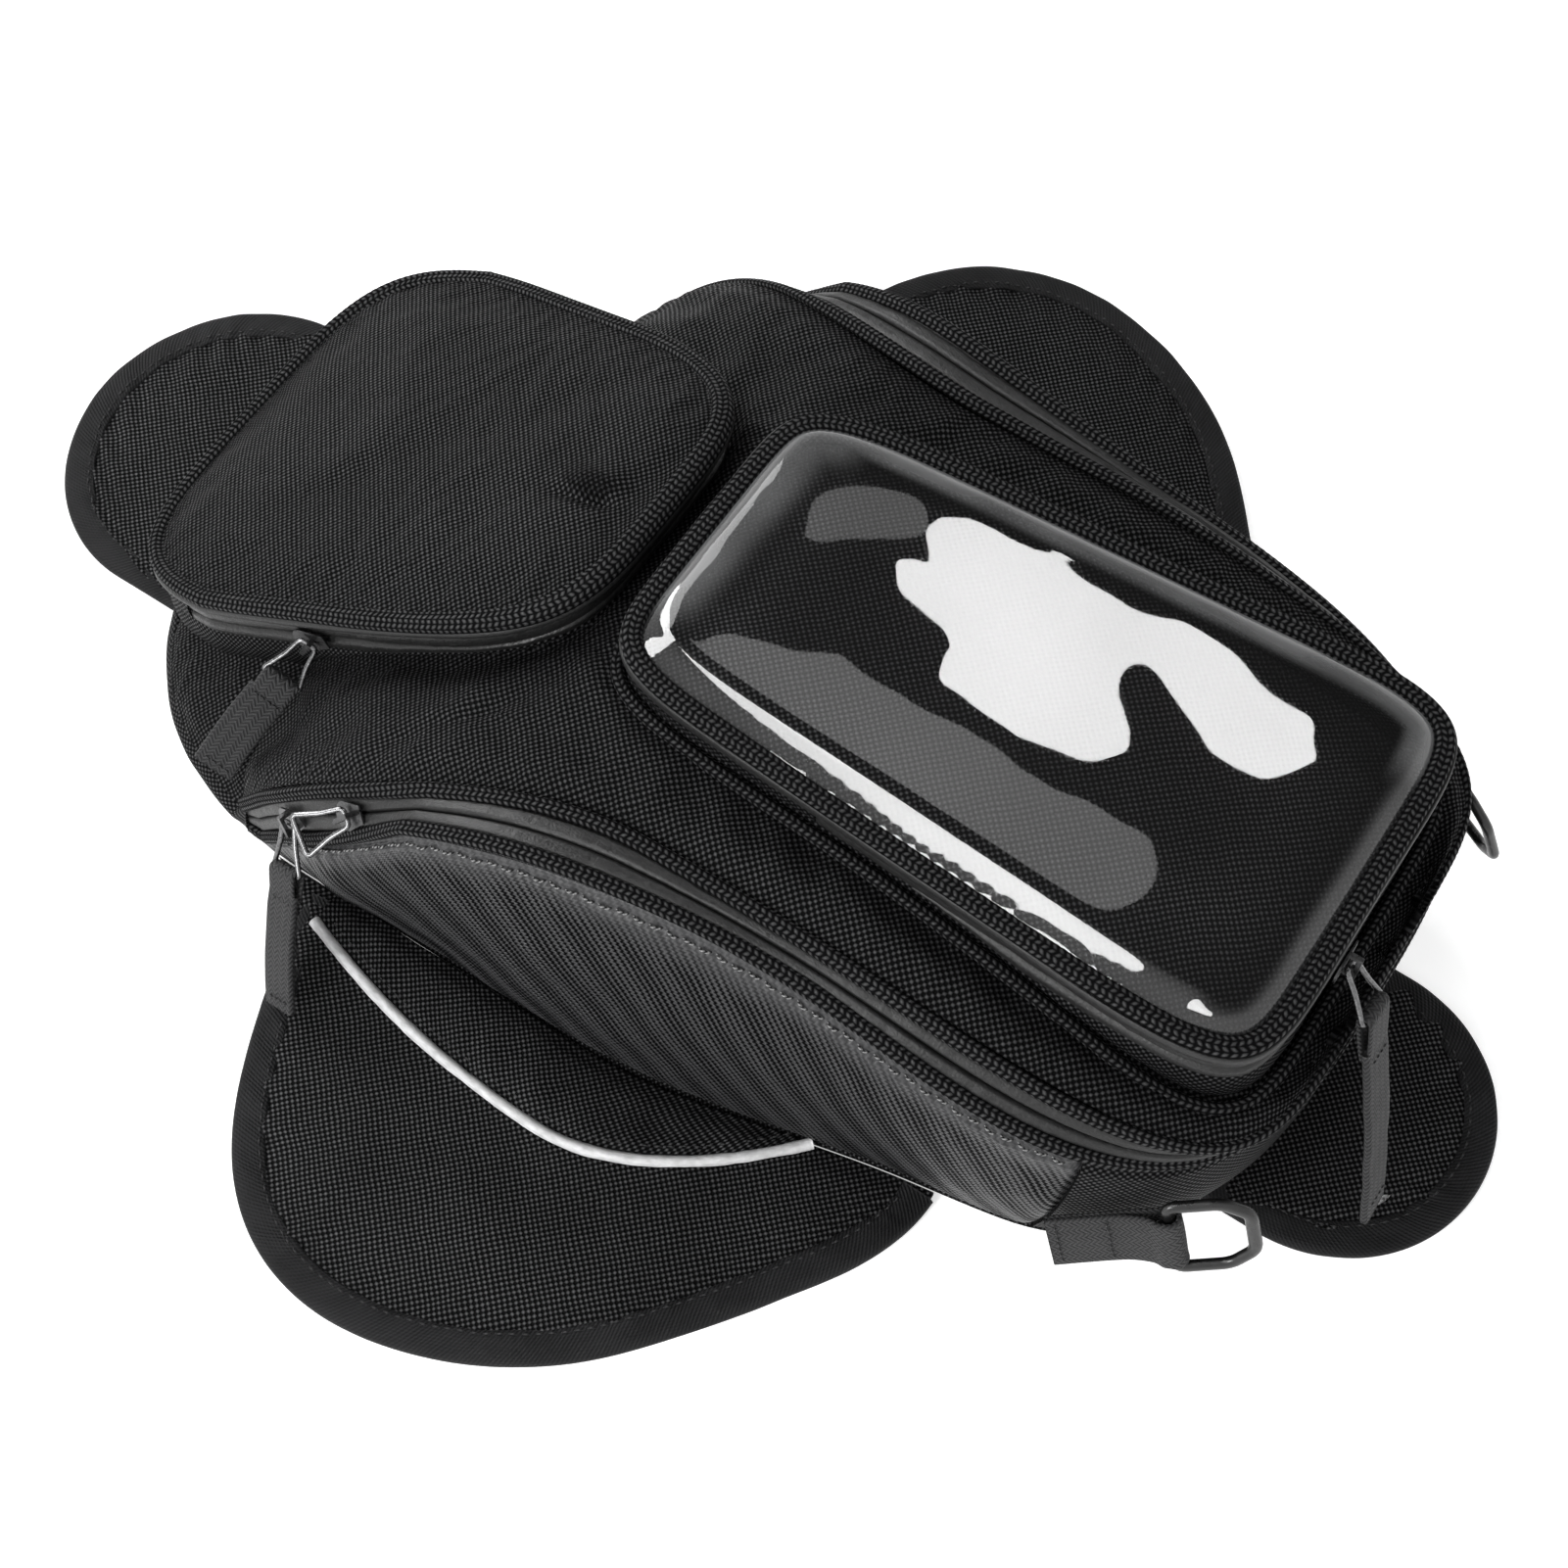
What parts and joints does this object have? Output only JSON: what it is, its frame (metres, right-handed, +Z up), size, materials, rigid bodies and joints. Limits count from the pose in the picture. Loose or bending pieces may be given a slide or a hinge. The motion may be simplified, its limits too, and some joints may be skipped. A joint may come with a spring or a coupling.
{
  "type": "motorcycle tank bag",
  "caption": "Soft tank bag with draping magnetic flaps, carbon-look sides, a zipped lid, a clear phone window pocket and a zipped front pocket.",
  "frame": {"origin": "centre of the underside, on the tank surface, midway between the tips of the front and rear flaps", "axes": "+Y to the handlebar, +X to the rider's right, +Z up"},
  "size_m": [0.4204, 0.504, 0.1232],
  "materials": {
    "shell_fabric": "woven",
    "base_fabric": "matte",
    "lining_fabric": "matte",
    "foam": "matte",
    "board": "matte",
    "carbon_look": "satin",
    "binding_tape": "woven",
    "coated_zip_tape": "satin",
    "webbing": "woven",
    "ring_plastic": "gloss",
    "clear_film": "gloss",
    "reflective": "satin",
    "magnet": "satin",
    "gunmetal": "satin"
  },
  "bodies": {
    "root": {"base_panel": "base_fabric", "base_foam": "foam", "base_board": "board", "tub_lining": "lining_fabric", "left_side_panel": "carbon_look", "right_side_panel": "carbon_look", "nose_panel": "shell_fabric", "rear_panel": "shell_fabric", "lower_binding": "binding_tape", "main_zip_lower_tape": "coated_zip_tape", "left_strap_tab": "webbing", "right_strap_tab": "webbing"},
    "main_lid": {"lid_top_panel": "shell_fabric", "lid_lining": "lining_fabric", "lid_binding": "binding_tape", "main_zip_upper_tape": "coated_zip_tape", "window_gusset": "shell_fabric", "window_zip_lower_tape": "coated_zip_tape", "window_pane_front": "clear_film", "window_frame_front": "binding_tape", "front_pocket_gusset": "shell_fabric", "pocket_zip_lower_tape": "coated_zip_tape"},
    "window_lid": {"window_pane": "clear_film", "window_frame": "binding_tape", "window_zip_upper_tape": "coated_zip_tape"},
    "pocket_lid": {"front_pocket_top": "shell_fabric", "front_pocket_binding": "binding_tape", "pocket_zip_upper_tape": "coated_zip_tape"},
    "left_flap_body": {"left_flap": "shell_fabric", "left_flap_lining": "base_fabric", "left_flap_binding": "binding_tape", "left_flap_magnets": "magnet", "left_flap_piping": "reflective"},
    "right_flap_body": {"right_flap": "shell_fabric", "right_flap_lining": "base_fabric", "right_flap_binding": "binding_tape", "right_flap_magnets": "magnet", "right_flap_piping": "reflective"},
    "front_flap_body": {"front_flap": "shell_fabric", "front_flap_lining": "base_fabric", "front_flap_binding": "binding_tape", "front_flap_magnets": "magnet"},
    "rear_flap_body": {"rear_flap": "shell_fabric", "rear_flap_lining": "base_fabric", "rear_flap_binding": "binding_tape", "rear_flap_magnets": "magnet"},
    "left_ring": {"left_strap_ring": "ring_plastic"},
    "right_ring": {"right_strap_ring": "ring_plastic"},
    "main_slider_a": {"main_slider_front": "gunmetal"},
    "main_pull_a": {"main_puller_front": "gunmetal", "main_pull_webbing": "webbing"},
    "main_slider_b": {"main_slider_rear": "gunmetal"},
    "main_pull_b": {"main_puller_rear": "gunmetal"},
    "pocket_zip_slider": {"pocket_slider": "gunmetal"},
    "pocket_pull": {"pocket_puller": "gunmetal", "pocket_pull_webbing": "webbing"},
    "window_zip_slider": {"window_slider": "gunmetal"},
    "window_pull": {"window_puller": "gunmetal", "window_pull_webbing": "webbing"}
  },
  "joints": [
    {"name": "main_lid_hinge", "type": "hinge", "parent": "root", "child": "main_lid", "pos_m": [0, 0.1845, 0.01], "axis": [-1, 0, 0], "range_deg": [0, 55]},
    {"name": "window_lid_hinge", "type": "hinge", "parent": "main_lid", "child": "window_lid", "pos_m": [0, -0.062, 0.1235], "axis": [-1, 0, 0], "range_deg": [0, 75]},
    {"name": "pocket_lid_hinge", "type": "hinge", "parent": "main_lid", "child": "pocket_lid", "pos_m": [0, 0.1845, 0.0315], "axis": [-1, 0, 0], "range_deg": [0, 70]},
    {"name": "left_flap_hinge", "type": "hinge", "parent": "root", "child": "left_flap_body", "pos_m": [-0.107, 0.06, 0.002], "axis": [0.0808, -0.9967, 0], "range_deg": [0, 60]},
    {"name": "right_flap_hinge", "type": "hinge", "parent": "root", "child": "right_flap_body", "pos_m": [0.107, 0.06, 0.002], "axis": [0.0808, 0.9967, 0], "range_deg": [-18, 60]},
    {"name": "front_flap_hinge", "type": "hinge", "parent": "root", "child": "front_flap_body", "pos_m": [0, 0.182, 0.002], "axis": [-1, 0, 0], "range_deg": [-12, 60]},
    {"name": "rear_flap_hinge", "type": "hinge", "parent": "root", "child": "rear_flap_body", "pos_m": [0, -0.1906, 0.001], "axis": [1, 0, 0], "range_deg": [-12, 60]},
    {"name": "left_ring_hinge", "type": "hinge", "parent": "root", "child": "left_ring", "pos_m": [-0.07897, -0.18954, 0.05323], "axis": [-0.1173, -0.3302, -0.9366], "range_deg": [-15, 60]},
    {"name": "right_ring_hinge", "type": "hinge", "parent": "root", "child": "right_ring", "pos_m": [0.07897, -0.18954, 0.05323], "axis": [-0.1173, 0.3302, 0.9366], "range_deg": [-15, 60]},
    {"name": "main_slider_a_slide", "type": "slide", "parent": "root", "child": "main_slider_a", "axis": [-0.0023, -0.669, 0.7433], "range_m": [-0.002, 0.006]},
    {"name": "main_pull_a_swing", "type": "hinge", "parent": "main_slider_a", "child": "main_pull_a", "pos_m": [-0.11025, 0.07802, 0.04987], "axis": [0.0772, 0.9007, -0.4275], "range_deg": [0, 50]},
    {"name": "main_slider_b_slide", "type": "slide", "parent": "root", "child": "main_slider_b", "axis": [-0.019, -0.672, 0.7403], "range_m": [0, 0.016]},
    {"name": "main_pull_b_swing", "type": "hinge", "parent": "main_slider_b", "child": "main_pull_b", "pos_m": [-0.10801, 0.05465, 0.07543], "axis": [0.4832, 0.7617, 0.4316], "range_deg": [0, 40]},
    {"name": "pocket_slider_slide", "type": "slide", "parent": "main_lid", "child": "pocket_zip_slider", "axis": [0.1503, -0.8843, 0.4421], "range_m": [-0.022, 0]},
    {"name": "pocket_pull_swing", "type": "hinge", "parent": "pocket_zip_slider", "child": "pocket_pull", "pos_m": [-0.06786, 0.10087, 0.06756], "axis": [-0.0885, 0.8821, 0.4627], "range_deg": [0, 50]},
    {"name": "window_slider_slide", "type": "slide", "parent": "main_lid", "child": "window_zip_slider", "axis": [1, 0, 0], "range_m": [-0.02, 0.045]},
    {"name": "window_pull_swing", "type": "hinge", "parent": "window_zip_slider", "child": "window_pull", "pos_m": [-0.014, -0.1947, 0.11215], "axis": [-0.9635, 0, 0.2676], "range_deg": [0, 50]}
  ]
}
